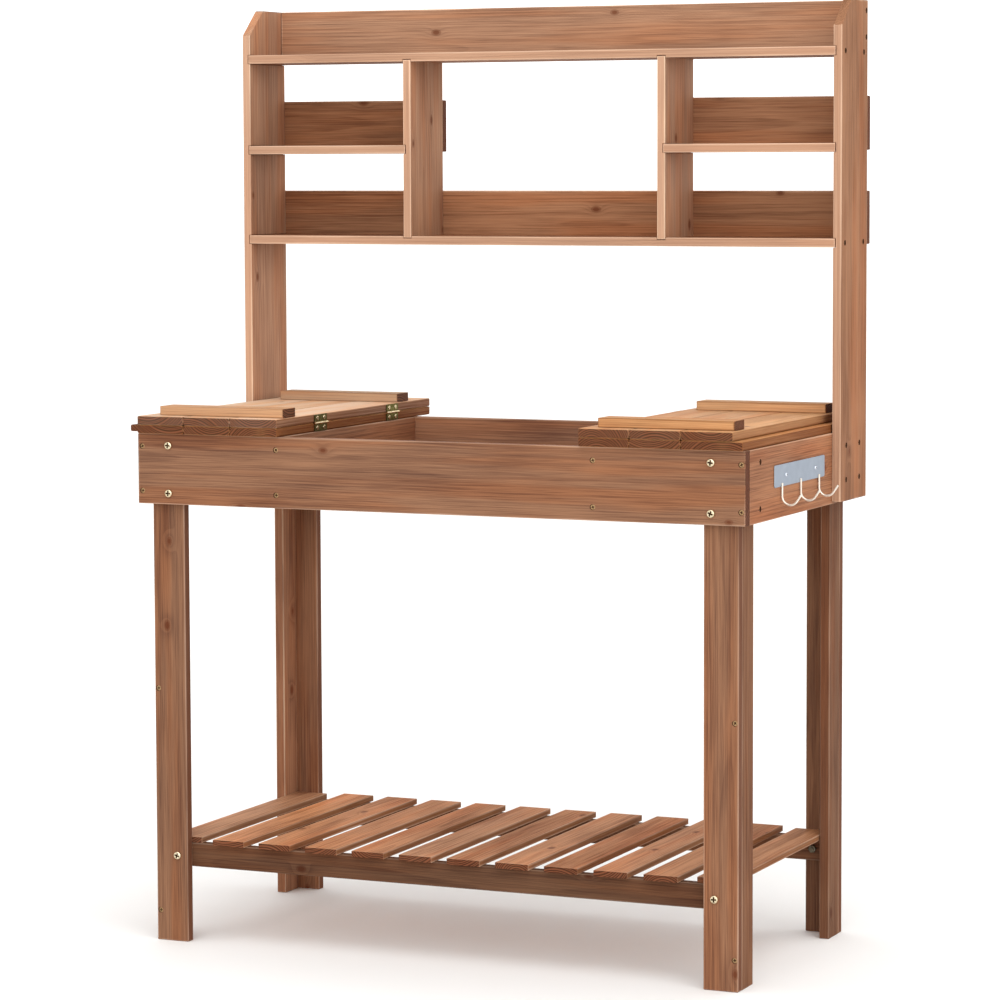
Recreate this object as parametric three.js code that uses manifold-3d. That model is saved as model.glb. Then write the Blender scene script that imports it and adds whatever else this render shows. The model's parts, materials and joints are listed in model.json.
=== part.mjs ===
// Potting bench: an open work box on four L-section legs, a slatted shelf below, a cubby
// hutch above, and two folding work-top pairs that open across the bin in the middle.
// Millimetres, +Z up. Lengths below are laid out from the work box: x from its left face,
// y back from its front face, z up from the floor. The whole bench is then centred on
// its footprint.

import * as THREE from 'three';
import { mergeVertices } from 'three/addons/utils/BufferGeometryUtils.js';
import Module from 'manifold-3d';

const wasm = await Module();
wasm.setup();

// Driving dimensions
const clearance = 0.3; // between boards that touch
const boxWidth = 1000;
const boxDepth = 503;
const apronBottom = 687;
const apronTop = 796;
const apronThickness = 16;

const legThickness = 15.8;
const legFaceWidth = 54.7;
const legSideWidth = 46.5;
const legTopDrop = 1; // leg ends stay this far under the apron tops

const partitionThickness = 13.3;
const partitionInset = 232.3; // side face of the box to the near face of the partition
const binFloor = { bottom: 699, thickness: 9 };
const cleatThickness = 14;

const uprightThickness = 13.5;
const uprightFront = 383;
const uprightRear = 507;
const uprightBottom = 690;
const uprightTop = 1460;
const chamferRun = 47; // along y
const chamferRise = 42; // along z

const shelfThickness = 13.5;
const topShelfBottom = 1373;
const middleShelfBottom = 1226;
const bottomShelfBottom = 1080.5;
const dadoDepth = 4; // shelf ends let into the uprights and dividers
const dividerDado = 3; // divider ends let into the shelves
const dividerThickness = 13.3;
const leftDividerStart = 275;
const rightDividerStart = 712;
const topBackThickness = 12.5;
const backBoardThickness = 13.5;
const upperBackBoard = [1229, 1313];
const lowerBackBoard = [1083, 1166];

const railThickness = 16;
const railBottom = 116.8;
const railTop = 154.2;
const slatCount = 12;
const slatPitch = 80;
const slatWidth = 54;
const slatThickness = 9;
const slatSetback = 20; // front face of the box to the slat ends

const leafFront = -8;
const leafRear = 545;
const leafThickness = 13.2;
const leafWidth = 242;
const leafBoards = 3;
const leafStackGap = 0.5;
const leftLeafStart = 3;
const rightLeafStart = 741;
const grooveWidth = 1.6; // joint lines between the boards of a leaf
const grooveDepth = 1.2;
const leftTongue = { length: 12, thickness: 10.4, rear: 375 };
const rightLedge = 15; // fixed right leaf beyond the swinging one

const battenThickness = 14;
const battenLength = 214;
const battenRows = { front: [18, 60], rear: [424, 466] };
const leftBattenStart = 29;
const rightBattenStart = 762;

const hingeLength = 42;
const hingePlateThickness = 1.5;
const hingePlateHeight = 13;
const hingeAxisOffset = 2.6; // leaf edge to pin axis
const knuckleRadius = 2.2;
const knuckleBore = 1.55;
const pinRadius = 1.2;
const knuckleGap = 0.4;
const hingeRows = { front: 139, rear: 397 };

const hookPlate = { start: 119, length: 225, bottom: 733, height: 33, thickness: 1.5, corner: 4 };
const hookWire = 1.5; // radius
const hookBend = 15; // radius of the bend's centre line
const hookBendHeight = 721; // centre of the bend above the floor
const hookShankTop = 748;
const firstHook = 149;
const hookPitch = 83.3;
const hookCount = 3;
const hookSteps = 16;

// Levels and faces that follow from them
const roundSteps = 16;
const legStart = apronThickness + clearance;
const legInner = legStart + legThickness + clearance;
const uprightGap = -clearance;
const fixedLeafBottom = apronTop + clearance;
const swingLeafBottom = fixedLeafBottom + leafThickness + leafStackGap;
const battenBottom = swingLeafBottom + leafThickness + clearance;
const hingeAxisHeight = fixedLeafBottom + leafThickness + leafStackGap / 2;
const slatBottom = railTop + clearance;

const finishes = {
  frame: { color: 0x8a5a42, roughness: 0.62, metalness: 0 },
  hutch: { color: 0x94634a, roughness: 0.6, metalness: 0 },
  top: { color: 0xbd8a62, roughness: 0.58, metalness: 0 },
  slat: { color: 0xa5704f, roughness: 0.6, metalness: 0 },
  brass: { color: 0xb5a878, roughness: 0.35, metalness: 1 },
  hook: { color: 0xb9c2cb, roughness: 0.3, metalness: 0.9 },
};

const bench = new THREE.Group();

function addMesh(name, finish, geometry) {
  const mesh = new THREE.Mesh(geometry, new THREE.MeshStandardMaterial(finishes[finish]));
  mesh.name = name;
  bench.add(mesh);
  return mesh;
}

function middle(span) {
  return (span[0] + span[1]) / 2;
}

function blockGeometry(x, y, z) {
  const geometry = new THREE.BoxGeometry(x[1] - x[0], y[1] - y[0], z[1] - z[0]);
  return geometry.translate(middle(x), middle(y), middle(z));
}

// A plain board between two x, two y and two z faces.
function addBoard(name, finish, x, y, z) {
  const mesh = addMesh(name, finish, new THREE.BoxGeometry(x[1] - x[0], y[1] - y[0], z[1] - z[0]));
  mesh.position.set(middle(x), middle(y), middle(z));
}

function toSolid(geometry) {
  const bare = geometry.clone();
  bare.deleteAttribute('normal');
  bare.deleteAttribute('uv');
  const merged = mergeVertices(bare, 1e-3);
  return new wasm.Manifold(new wasm.Mesh({
    numProp: 3,
    vertProperties: new Float32Array(merged.attributes.position.array),
    triVerts: new Uint32Array(merged.index.array),
  }));
}

function toGeometry(solid) {
  const mesh = solid.getMesh();
  const geometry = new THREE.BufferGeometry();
  geometry.setAttribute('position', new THREE.BufferAttribute(mesh.vertProperties, 3));
  geometry.setIndex(new THREE.BufferAttribute(mesh.triVerts, 1));
  geometry.computeVertexNormals();
  return geometry;
}

function block(x, y, z) {
  return toSolid(blockGeometry(x, y, z));
}

// A round bar along y.
function bar(x, z, y, radius) {
  const geometry = new THREE.CylinderGeometry(radius, radius, y[1] - y[0], roundSteps);
  return toSolid(geometry.translate(x, middle(y), z));
}

// The same span seen from the other end of the box.
function fromFarSide(span, total) {
  return [total - span[1], total - span[0]];
}

function eachSide(build) {
  build('left', (span) => span);
  build('right', (span) => fromFarSide(span, boxWidth));
}

function eachEnd(build) {
  build('front', (span) => span);
  build('rear', (span) => fromFarSide(span, boxDepth));
}

// Work box: front and back aprons cover the ends of the side aprons, and two partitions
// close off the bin between them.
function addWorkBox() {
  const height = [apronBottom, apronTop];
  const between = [apronThickness + clearance, boxDepth - apronThickness - clearance];
  addBoard('front_apron', 'frame', [0, boxWidth], [0, apronThickness], height);
  addBoard('back_apron', 'frame', [0, boxWidth], [boxDepth - apronThickness, boxDepth], height);
  eachSide((side, place) => {
    addBoard(`${side}_side_apron`, 'frame', place([0, apronThickness]), between, height);
    const partition = [partitionInset, partitionInset + partitionThickness];
    addBoard(`${side}_partition`, 'frame', place(partition), between, height);
  });
}

// Bin floor on a cleat along the foot of each partition.
function addBinFloor() {
  const partitionFace = partitionInset + partitionThickness + clearance;
  const depth = [apronThickness + 2 * clearance, boxDepth - apronThickness - 2 * clearance];
  const floor = [binFloor.bottom, binFloor.bottom + binFloor.thickness];
  addBoard('bin_floor', 'frame', [partitionFace, boxWidth - partitionFace], depth, floor);
  eachSide((side, place) => {
    const cleat = place([partitionFace, partitionFace + cleatThickness]);
    addBoard(`${side}_bin_cleat`, 'frame', cleat, depth, [apronBottom, binFloor.bottom - clearance]);
  });
}

// Each leg is two boards in an L: the face board covers the edge of the side board.
function addLegs() {
  const height = [0, apronTop - legTopDrop];
  const faceDepth = [legStart, legStart + legThickness];
  const sideDepth = [legInner, legInner + legSideWidth];
  eachSide((side, across) => {
    eachEnd((end, along) => {
      const face = across([legStart, legStart + legFaceWidth]);
      const flank = across([legStart, legStart + legThickness]);
      addBoard(`${end}_${side}_leg_face`, 'frame', face, along(faceDepth), height);
      addBoard(`${end}_${side}_leg_side`, 'frame', flank, along(sideDepth), height);
    });
  });
}

// Rails behind the leg faces carry slats that run front to back. The two end slats fit
// inside the legs and so are shorter than the rest.
function addSlattedShelf() {
  const railDepth = [legInner, legInner + railThickness];
  eachEnd((end, along) => {
    const span = [legInner, boxWidth - legInner];
    addBoard(`${end}_rail`, 'frame', span, along(railDepth), [railBottom, railTop]);
  });
  const height = [slatBottom, slatBottom + slatThickness];
  for (let index = 0; index < slatCount; index += 1) {
    const centre = boxWidth / 2 + (index - (slatCount - 1) / 2) * slatPitch;
    const isEnd = index === 0 || index === slatCount - 1;
    const start = isEnd ? legInner : slatSetback;
    const width = [centre - slatWidth / 2, centre + slatWidth / 2];
    const name = `slat_${String(index + 1).padStart(2, '0')}`;
    addBoard(name, 'slat', width, [start, boxDepth - start], height);
  }
}

function shelfHeight(bottom) {
  return [bottom, bottom + shelfThickness];
}

// A slot that takes a board with clearance all round it.
function slot(x, y, z) {
  const grow = (span) => [span[0] - clearance, span[1] + clearance];
  return block(grow(x), grow(y), grow(z));
}

// Upright board with a sloping top corner, slotted on its inner face for three shelves.
function addUprights() {
  const outline = new THREE.Shape();
  outline.moveTo(uprightFront, uprightBottom);
  outline.lineTo(uprightRear, uprightBottom);
  outline.lineTo(uprightRear, uprightTop);
  outline.lineTo(uprightFront + chamferRun, uprightTop);
  outline.lineTo(uprightFront, uprightTop - chamferRise);
  outline.closePath();
  const extruded = new THREE.ExtrudeGeometry(outline, { depth: uprightThickness, bevelEnabled: false });
  extruded.rotateZ(Math.PI / 2).rotateY(Math.PI / 2);
  const placed = toSolid(extruded);
  const width = [uprightGap - uprightThickness, uprightGap];
  eachSide((side, place) => {
    let solid = placed.translate([place(width)[0], 0, 0]);
    for (const bottom of [topShelfBottom, middleShelfBottom, bottomShelfBottom]) {
      const shelfEnd = place([-dadoDepth, clearance]);
      solid = solid.subtract(slot(shelfEnd, [uprightFront, uprightRear], shelfHeight(bottom)));
    }
    addMesh(`${side}_upright`, 'hutch', toGeometry(solid));
  });
}

// Full-width shelves, slotted where the two dividers stand.
function addLongShelf(name, bottom, slotHeight) {
  const width = [-dadoDepth, boxWidth + dadoDepth];
  const depth = [uprightFront, uprightRear];
  let solid = block(width, depth, shelfHeight(bottom));
  for (const start of [leftDividerStart, rightDividerStart]) {
    solid = solid.subtract(slot([start, start + dividerThickness], depth, slotHeight));
  }
  addMesh(name, 'hutch', toGeometry(solid));
}

// A divider is slotted on its outer face for the short middle shelf.
function addDivider(name, start, slotSpan) {
  const height = [
    bottomShelfBottom + shelfThickness - dividerDado,
    topShelfBottom + dividerDado,
  ];
  const depth = [uprightFront, uprightRear];
  const solid = block([start, start + dividerThickness], depth, height)
    .subtract(slot(slotSpan, depth, shelfHeight(middleShelfBottom)));
  addMesh(name, 'hutch', toGeometry(solid));
}

function addHutch() {
  const depth = [uprightFront, uprightRear];
  const bottomShelfTop = bottomShelfBottom + shelfThickness;
  const topShelfTop = topShelfBottom + shelfThickness;
  const rightDividerEnd = rightDividerStart + dividerThickness;
  const leftDividerEnd = leftDividerStart + dividerThickness;
  addLongShelf('top_shelf', topShelfBottom, [topShelfBottom, topShelfBottom + dividerDado]);
  addLongShelf('bottom_shelf', bottomShelfBottom, [bottomShelfTop - dividerDado, bottomShelfTop]);
  addDivider('left_divider', leftDividerStart, [leftDividerStart, leftDividerStart + dadoDepth]);
  addDivider('right_divider', rightDividerStart, [rightDividerEnd - dadoDepth, rightDividerEnd]);

  const middleHeight = shelfHeight(middleShelfBottom);
  const leftReach = [-dadoDepth, leftDividerStart + dadoDepth];
  const rightReach = [rightDividerEnd - dadoDepth, boxWidth + dadoDepth];
  addBoard('left_middle_shelf', 'hutch', leftReach, depth, middleHeight);
  addBoard('right_middle_shelf', 'hutch', rightReach, depth, middleHeight);

  const topBack = [uprightRear - topBackThickness, uprightRear];
  const topBackHeight = [topShelfTop + clearance, uprightTop];
  addBoard('top_back_board', 'hutch', [clearance, boxWidth - clearance], topBack, topBackHeight);

  const behind = [uprightRear + clearance, uprightRear + clearance + backBoardThickness];
  const outerLeft = uprightGap - uprightThickness;
  const outerRight = boxWidth - outerLeft;
  addBoard('upper_left_back_board', 'hutch', [outerLeft, leftDividerEnd], behind, upperBackBoard);
  addBoard('upper_right_back_board', 'hutch', [rightDividerStart, outerRight], behind, upperBackBoard);
  addBoard('lower_back_board', 'hutch', [outerLeft, outerRight], behind, lowerBackBoard);
}

// Joint lines between the boards of a leaf, on its upper and lower faces.
function cutJointLines(solid, start, bottom) {
  const boardWidth = leafWidth / leafBoards;
  const depth = [leafFront - clearance, leafRear + clearance];
  let result = solid;
  for (let index = 1; index < leafBoards; index += 1) {
    const centre = start + index * boardWidth;
    const line = [centre - grooveWidth / 2, centre + grooveWidth / 2];
    for (const face of [bottom, bottom + leafThickness]) {
      result = result.subtract(block(line, depth, [face - grooveDepth, face + grooveDepth]));
    }
  }
  return result;
}

function leafSolid(start, end, bottom) {
  return block([start, end], [leafFront, leafRear], [bottom, bottom + leafThickness]);
}

// Each pair is a fixed leaf with a swinging leaf folded flat on top of it. The left fixed
// leaf keeps a tongue on its outer edge in front of the upright.
function addLeaves() {
  const leftEnd = leftLeafStart + leafWidth;
  const rightEnd = rightLeafStart + leafWidth;
  const fixedTop = fixedLeafBottom + leafThickness;
  const tongue = block(
    [leftLeafStart - leftTongue.length, leftLeafStart + 1],
    [leafFront, leftTongue.rear],
    [fixedTop - leftTongue.thickness, fixedTop],
  );
  const leftFixed = leafSolid(leftLeafStart, leftEnd, fixedLeafBottom).add(tongue);
  const rightFixed = leafSolid(rightLeafStart, rightEnd + rightLedge, fixedLeafBottom);
  const leftSwing = leafSolid(leftLeafStart, leftEnd, swingLeafBottom);
  const rightSwing = leafSolid(rightLeafStart, rightEnd, swingLeafBottom);
  const leaves = [
    ['left_fixed_leaf', leftFixed, leftLeafStart, fixedLeafBottom],
    ['right_fixed_leaf', rightFixed, rightLeafStart, fixedLeafBottom],
    ['left_swing_leaf', leftSwing, leftLeafStart, swingLeafBottom],
    ['right_swing_leaf', rightSwing, rightLeafStart, swingLeafBottom],
  ];
  for (const [name, solid, start, bottom] of leaves) {
    addMesh(name, 'top', toGeometry(cutJointLines(solid, start, bottom)));
  }
}

// Two battens stiffen each swinging leaf; they hang inside the box once it is opened.
function addBattens() {
  const height = [battenBottom, battenBottom + battenThickness];
  const starts = { left: leftBattenStart, right: rightBattenStart };
  for (const [side, start] of Object.entries(starts)) {
    for (const [end, depth] of Object.entries(battenRows)) {
      addBoard(`${side}_${end}_batten`, 'top', [start, start + battenLength], depth, height);
    }
  }
}

// Butt hinge on the leaf edges at x = edge. outward is +1 when the edge faces +x. The
// fixed plate carries the two end knuckles and the pin, the swinging plate the middle one.
function addHinge(name, edge, outward, centre) {
  const axis = edge + outward * hingeAxisOffset;
  const sorted = (from, to) => [Math.min(from, to), Math.max(from, to)];
  const plateWidth = sorted(
    edge + outward * clearance,
    edge + outward * (clearance + hingePlateThickness),
  );
  const ends = [centre - hingeLength / 2, centre + hingeLength / 2];
  const knuckle = hingeLength / 3;
  const inner = [ends[0] + knuckle, ends[1] - knuckle];
  const innerRoom = [inner[0] - knuckleGap, inner[1] + knuckleGap];
  const round = (span, radius) => bar(axis, hingeAxisHeight, span, radius);
  const roomRadius = knuckleRadius + clearance;
  const rootGap = 0.6; // plate roots stay clear of the leaf joint plane

  const low = [hingeAxisHeight - hingePlateHeight, hingeAxisHeight - rootGap];
  const high = [hingeAxisHeight + rootGap, hingeAxisHeight + hingePlateHeight];
  const firstEnd = [ends[0], innerRoom[0]];
  const lastEnd = [innerRoom[1], ends[1]];

  const fixedPlate = block(plateWidth, ends, low).subtract(round(innerRoom, roomRadius))
    .add(round(firstEnd, knuckleRadius))
    .add(round(lastEnd, knuckleRadius))
    .add(round(ends, pinRadius));
  const swingPlate = block(plateWidth, ends, high)
    .subtract(round([ends[0] - 1, inner[0]], roomRadius))
    .subtract(round([inner[1], ends[1] + 1], roomRadius))
    .add(round(inner, knuckleRadius))
    .subtract(round([ends[0] - 1, ends[1] + 1], knuckleBore));
  addMesh(`${name}_fixed_plate`, 'brass', toGeometry(fixedPlate));
  addMesh(`${name}_swing_plate`, 'brass', toGeometry(swingPlate));
}

function addHinges() {
  for (const [end, centre] of Object.entries(hingeRows)) {
    addHinge(`left_${end}_hinge`, leftLeafStart + leafWidth, 1, centre);
    addHinge(`right_${end}_hinge`, rightLeafStart, -1, centre);
  }
}

// Centre line of a hook: a straight shank down the plate, then half a turn outwards.
class HookCurve extends THREE.Curve {
  constructor(x, y) {
    super();
    this.x = x;
    this.y = y;
  }

  getPoint(t) {
    const shank = hookShankTop - hookBendHeight;
    const distance = t * (shank + Math.PI * hookBend);
    if (distance < shank) {
      return new THREE.Vector3(this.x, this.y, hookShankTop - distance);
    }
    const angle = (distance - shank) / hookBend;
    const x = this.x + hookBend * (1 - Math.cos(angle));
    return new THREE.Vector3(x, this.y, hookBendHeight - hookBend * Math.sin(angle));
  }
}

function roundedPlate(width, height, radius) {
  const shape = new THREE.Shape();
  shape.moveTo(radius, 0);
  shape.lineTo(width - radius, 0);
  shape.absarc(width - radius, radius, radius, -Math.PI / 2, 0, false);
  shape.lineTo(width, height - radius);
  shape.absarc(width - radius, height - radius, radius, 0, Math.PI / 2, false);
  shape.lineTo(radius, height);
  shape.absarc(radius, height - radius, radius, Math.PI / 2, Math.PI, false);
  shape.lineTo(0, radius);
  shape.absarc(radius, radius, radius, Math.PI, Math.PI * 1.5, false);
  return shape;
}

// Metal plate on the right side apron with three wire hooks fixed to its face.
function addHookRail() {
  const { start, length, bottom, height, thickness, corner } = hookPlate;
  const plateShape = roundedPlate(length, height, corner);
  const plate = new THREE.ExtrudeGeometry(plateShape, {
    depth: thickness,
    bevelEnabled: false,
    curveSegments: 4,
  });
  plate.rotateX(Math.PI / 2).rotateZ(Math.PI / 2);
  plate.translate(boxWidth + clearance, start, bottom);
  let solid = toSolid(plate);
  const wireX = boxWidth + clearance + thickness + hookWire / 2;
  const section = new THREE.Shape();
  section.absarc(0, 0, hookWire, 0, Math.PI * 2, false);
  for (let index = 0; index < hookCount; index += 1) {
    const wire = new THREE.ExtrudeGeometry(section, {
      steps: hookSteps,
      curveSegments: 4,
      extrudePath: new HookCurve(wireX, firstHook + index * hookPitch),
    });
    solid = solid.add(toSolid(wire));
  }
  addMesh('hook_rail', 'hook', toGeometry(solid));
}

addWorkBox();
addBinFloor();
addLegs();
addSlattedShelf();
addUprights();
addHutch();
addLeaves();
addBattens();
addHinges();
addHookRail();

// Origin on the floor at the middle of the footprint.
const footprint = new THREE.Box3().setFromObject(bench).getCenter(new THREE.Vector3());
bench.position.set(-footprint.x, -footprint.y, 0);

export default bench;
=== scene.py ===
import json
import math
import random

import bmesh
import bpy
from mathutils import Matrix, Vector


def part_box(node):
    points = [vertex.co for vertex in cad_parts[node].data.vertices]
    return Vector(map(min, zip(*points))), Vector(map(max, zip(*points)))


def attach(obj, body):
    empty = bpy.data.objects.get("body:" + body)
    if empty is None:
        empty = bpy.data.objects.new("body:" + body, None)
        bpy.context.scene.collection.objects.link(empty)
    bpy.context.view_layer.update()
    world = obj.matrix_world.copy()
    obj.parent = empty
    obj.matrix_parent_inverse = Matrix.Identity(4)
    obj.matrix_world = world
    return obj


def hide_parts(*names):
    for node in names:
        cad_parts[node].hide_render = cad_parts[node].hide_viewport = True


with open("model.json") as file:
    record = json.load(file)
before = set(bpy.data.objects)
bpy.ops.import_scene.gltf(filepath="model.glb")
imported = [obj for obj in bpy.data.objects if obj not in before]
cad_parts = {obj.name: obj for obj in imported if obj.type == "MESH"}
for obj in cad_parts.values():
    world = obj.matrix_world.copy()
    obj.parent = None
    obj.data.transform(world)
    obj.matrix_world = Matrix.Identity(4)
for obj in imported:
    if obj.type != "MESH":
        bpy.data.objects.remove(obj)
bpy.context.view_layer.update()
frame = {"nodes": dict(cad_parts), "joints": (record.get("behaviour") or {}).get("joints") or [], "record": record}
mm = 0.001
record = frame["record"]
bodyNodes = record["behaviour"]["bodies"]
nodeBody = {node: body for body, nodes in bodyNodes.items() for node in nodes}
nodeSlot = {part["node"]: part["material_slot"] for part in record["subparts"]}
axisIndex = {"x": 0, "y": 1, "z": 2}
print("frame loaded:", len(frame["nodes"]), "nodes")


# ---- small helpers

def addNode(tree, kind, inputs=None, **settings):
    node = tree.nodes.new(kind)
    for name, value in settings.items():
        setattr(node, name, value)
    for key, value in (inputs or {}).items():
        if isinstance(value, bpy.types.NodeSocket):
            tree.links.new(value, node.inputs[key])
        else:
            node.inputs[key].default_value = value
    return node


def toLinear(hexColour):
    channels = [int(hexColour[i:i + 2], 16) / 255 for i in (1, 3, 5)]
    return [c / 12.92 if c <= 0.04045 else ((c + 0.055) / 1.055) ** 2.4 for c in channels] + [1.0]


def startMaterial(name):
    material = bpy.data.materials.new(name)
    material.use_nodes = True
    material.node_tree.nodes.clear()
    return material, material.node_tree


def clearSelection():
    if bpy.context.object and bpy.context.object.mode != "OBJECT":
        bpy.ops.object.mode_set(mode="OBJECT")
    bpy.ops.object.select_all(action="DESELECT")


def onlySelect(*pieces):
    clearSelection()
    for piece in pieces:
        piece.select_set(True)
    bpy.context.view_layer.objects.active = pieces[0]


def pick(kind, test):
    # in edit mode, selects the faces or edges that pass the test and no others
    bpy.ops.mesh.select_mode(type=kind)
    mesh = bmesh.from_edit_mesh(bpy.context.object.data)
    for item in [*mesh.verts, *mesh.edges, *mesh.faces]:
        item.select_set(False)
    for item in mesh.faces if kind == "FACE" else mesh.edges:
        if test(item):
            item.select_set(True)
    mesh.select_flush_mode()
    bmesh.update_edit_mesh(bpy.context.object.data)


def edgeRuns(axis):
    # a test for edges that run along an axis
    index = axisIndex[axis]

    def test(edge):
        line = edge.verts[1].co - edge.verts[0].co
        return line.length > 0 and abs(line[index]) / line.length > 0.99
    return test


def startBlock(name, low, high):
    clearSelection()
    low, high = Vector(low), Vector(high)
    bpy.ops.mesh.primitive_cube_add(size=1, location=(low + high) / 2)
    piece = bpy.context.object
    piece.name = piece.data.name = name
    piece.scale = high - low
    bpy.ops.object.transform_apply(location=True, rotation=True, scale=True)
    return piece


def startRound(name, radius, low, high, axis, sides=24):
    # a bar from low to high along one axis
    clearSelection()
    low, high = Vector(low), Vector(high)
    turn = {"x": (0, math.pi / 2, 0), "y": (math.pi / 2, 0, 0), "z": (0, 0, 0)}[axis]
    bpy.ops.mesh.primitive_cylinder_add(
        radius=radius, depth=(high - low).length, vertices=sides,
        location=(low + high) / 2, rotation=turn)
    piece = bpy.context.object
    piece.name = piece.data.name = name
    bpy.ops.object.transform_apply(location=True, rotation=True, scale=True)
    return piece


def addBevel(piece, width, segments, angle=40):
    bevel = piece.modifiers.new("eased edges", "BEVEL")
    bevel.width = width
    bevel.segments = segments
    bevel.limit_method = "ANGLE"
    bevel.angle_limit = math.radians(angle)
    return bevel


def addWeld(piece):
    weld = piece.modifiers.new("weld", "WELD")
    weld.merge_threshold = 0.01 * mm
    return weld


def bevelAll(piece, width, segments=2, angle=40):
    onlySelect(piece)
    bevel = addBevel(piece, width, segments, angle)
    bpy.ops.object.modifier_apply(modifier=bevel.name)


def bevelTop(width, segments):
    # eases the rim of the upper face of the active piece
    bpy.ops.object.mode_set(mode="EDIT")
    pick("FACE", lambda face: face.normal.z > 0.9)
    bpy.ops.mesh.bevel(offset=width, segments=segments, affect="EDGES")
    bpy.ops.object.mode_set(mode="OBJECT")


def roundCorners(radius, segments):
    # rounds the corners of a plate that faces along x, which is the active piece
    bpy.ops.object.mode_set(mode="EDIT")
    pick("EDGE", edgeRuns("x"))
    bpy.ops.mesh.bevel(offset=radius, segments=segments, affect="EDGES")
    bpy.ops.object.mode_set(mode="OBJECT")


def cutWith(piece, tool):
    # takes the tool's shape out of the piece, then drops the tool
    onlySelect(piece)
    cut = piece.modifiers.new("cut", "BOOLEAN")
    cut.operation = "DIFFERENCE"
    cut.object = tool
    cut.solver = "EXACT"
    cut.material_mode = "TRANSFER"
    bpy.ops.object.modifier_apply(modifier=cut.name)
    bpy.data.objects.remove(tool, do_unlink=True)


def joinPieces(name, pieces):
    onlySelect(*pieces)
    if len(pieces) > 1:
        bpy.ops.object.join()
    joined = bpy.context.object
    joined.name = joined.data.name = name
    return joined


def copyPiece(piece, name):
    onlySelect(piece)
    bpy.ops.object.duplicate(linked=False)
    copy = bpy.context.object
    copy.name = copy.data.name = name
    return copy


def placeCopies(name, master, spots):
    # copies a fastener modelled at the origin, facing +z, to each (point, facing) spot
    copies = []
    for point, facing in spots:
        copy = copyPiece(master, name)
        turn = Vector((0, 0, 1)).rotation_difference(Vector(facing)).to_matrix().to_4x4()
        twist = Matrix.Rotation(fastenerTwist.uniform(0, math.pi), 4, "Z")
        copy.matrix_world = Matrix.Translation(point) @ turn @ twist
        bpy.ops.object.transform_apply(location=True, rotation=True, scale=True)
        copies.append(copy)
    return joinPieces(name, copies)


def finish(piece, body, material=None):
    # gives the piece its body and, unless it has its own, its material
    if material:
        piece.data.materials.clear()
        piece.data.materials.append(material)
    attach(piece, body)


def boxOf(node):
    return [Vector(corner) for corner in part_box(node)]


def middleOf(node):
    low, high = boxOf(node)
    return (low + high) / 2


# ---- stained fir

firLook = {
    "ring": 3.4 * mm,  # radial width of a growth ring
    "knotCell": 105 * mm,  # rough spacing of knots
    "knotShare": 0.6,  # share of those places with no knot
    "knotRadius": 4.2 * mm,
    "knotSpread": 5 * mm,  # how much knots differ in radius
    "knotStretch": 0.62,  # knots are longer along the grain
    "swellWidth": 10 * mm,  # how far from a knot the rings still bend
    "swellPush": 5 * mm,  # how far a knot pushes them
    "sway": 15 * mm,  # how far the rings wander along a board
    "swayScale": (1.6, 7, 7),
    "ringUneven": 1.6,  # in rings, how much their widths differ
    "streakScale": (4, 460, 460),  # cycles per metre: streaks of about 2 mm by 250 mm
    "poreScale": (14, 1050, 1050),  # drawn a little coarser than real so that it shows
    "blotchScale": (4.0, 17, 17),
    "honeyScale": (2.2, 30, 30),  # patches where the stain is more yellow
    # how dark plain earlywood is, then how much each feature darkens it
    "base": 0.28,
    "latewood": 0.27,
    "streak": 1.2,
    "pore": 1.8,
    "blotch": 1.5,
    "wearWidth": 2.4 * mm,  # width of the corner lines
    "skin": 0.9 * mm,  # depth at which a point still counts as on an end or a narrow edge
    "earlyEnd": (5.6, 5.8, 5.8),  # how much paler earlywood is on a cut end
    "toneStep": 0.16,  # brightness of one step of a board's tone
    "warmStep": 0.05,
}

# light and dark grain of each finish, the tone of its narrow edges and how much that
# shows, then the tone of its corner lines and how much: the pale lines are partly rubbing and partly a painted
# highlight, the lid wood's dark ones painted shade in the joints
woodTones = {
    # frame: its dark narrow-side tone is painted shade on the legs' sides
    "frame_wood": ("#8a634a", "#5e4032", "#613a28", 0.0, "#e2c2a8", 0.3),
    # hutch: its pale narrow-side tone is a painted highlight on the lit front edges
    "hutch_wood": ("#9b7053", "#6c4834", "#c09a80", 0.6, "#e2c2a8", 0.45),
    # slats: their dark narrow-side tone is painted shade on their sides in the gaps
    "slat_wood": ("#b57f58", "#784c32", "#5a3620", 0.7, "#e2c2a8", 0.3),
    "top_wood": ("#c79464", "#976b44", "#5f3119", 0.4, "#6e4324", 0.7),
}
knotTone = "#5a2c18"
bareTone = "#e2c2a8"  # wood that took no stain
honeyTone = "#c4935c"
endTone = "#331a10"


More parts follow.
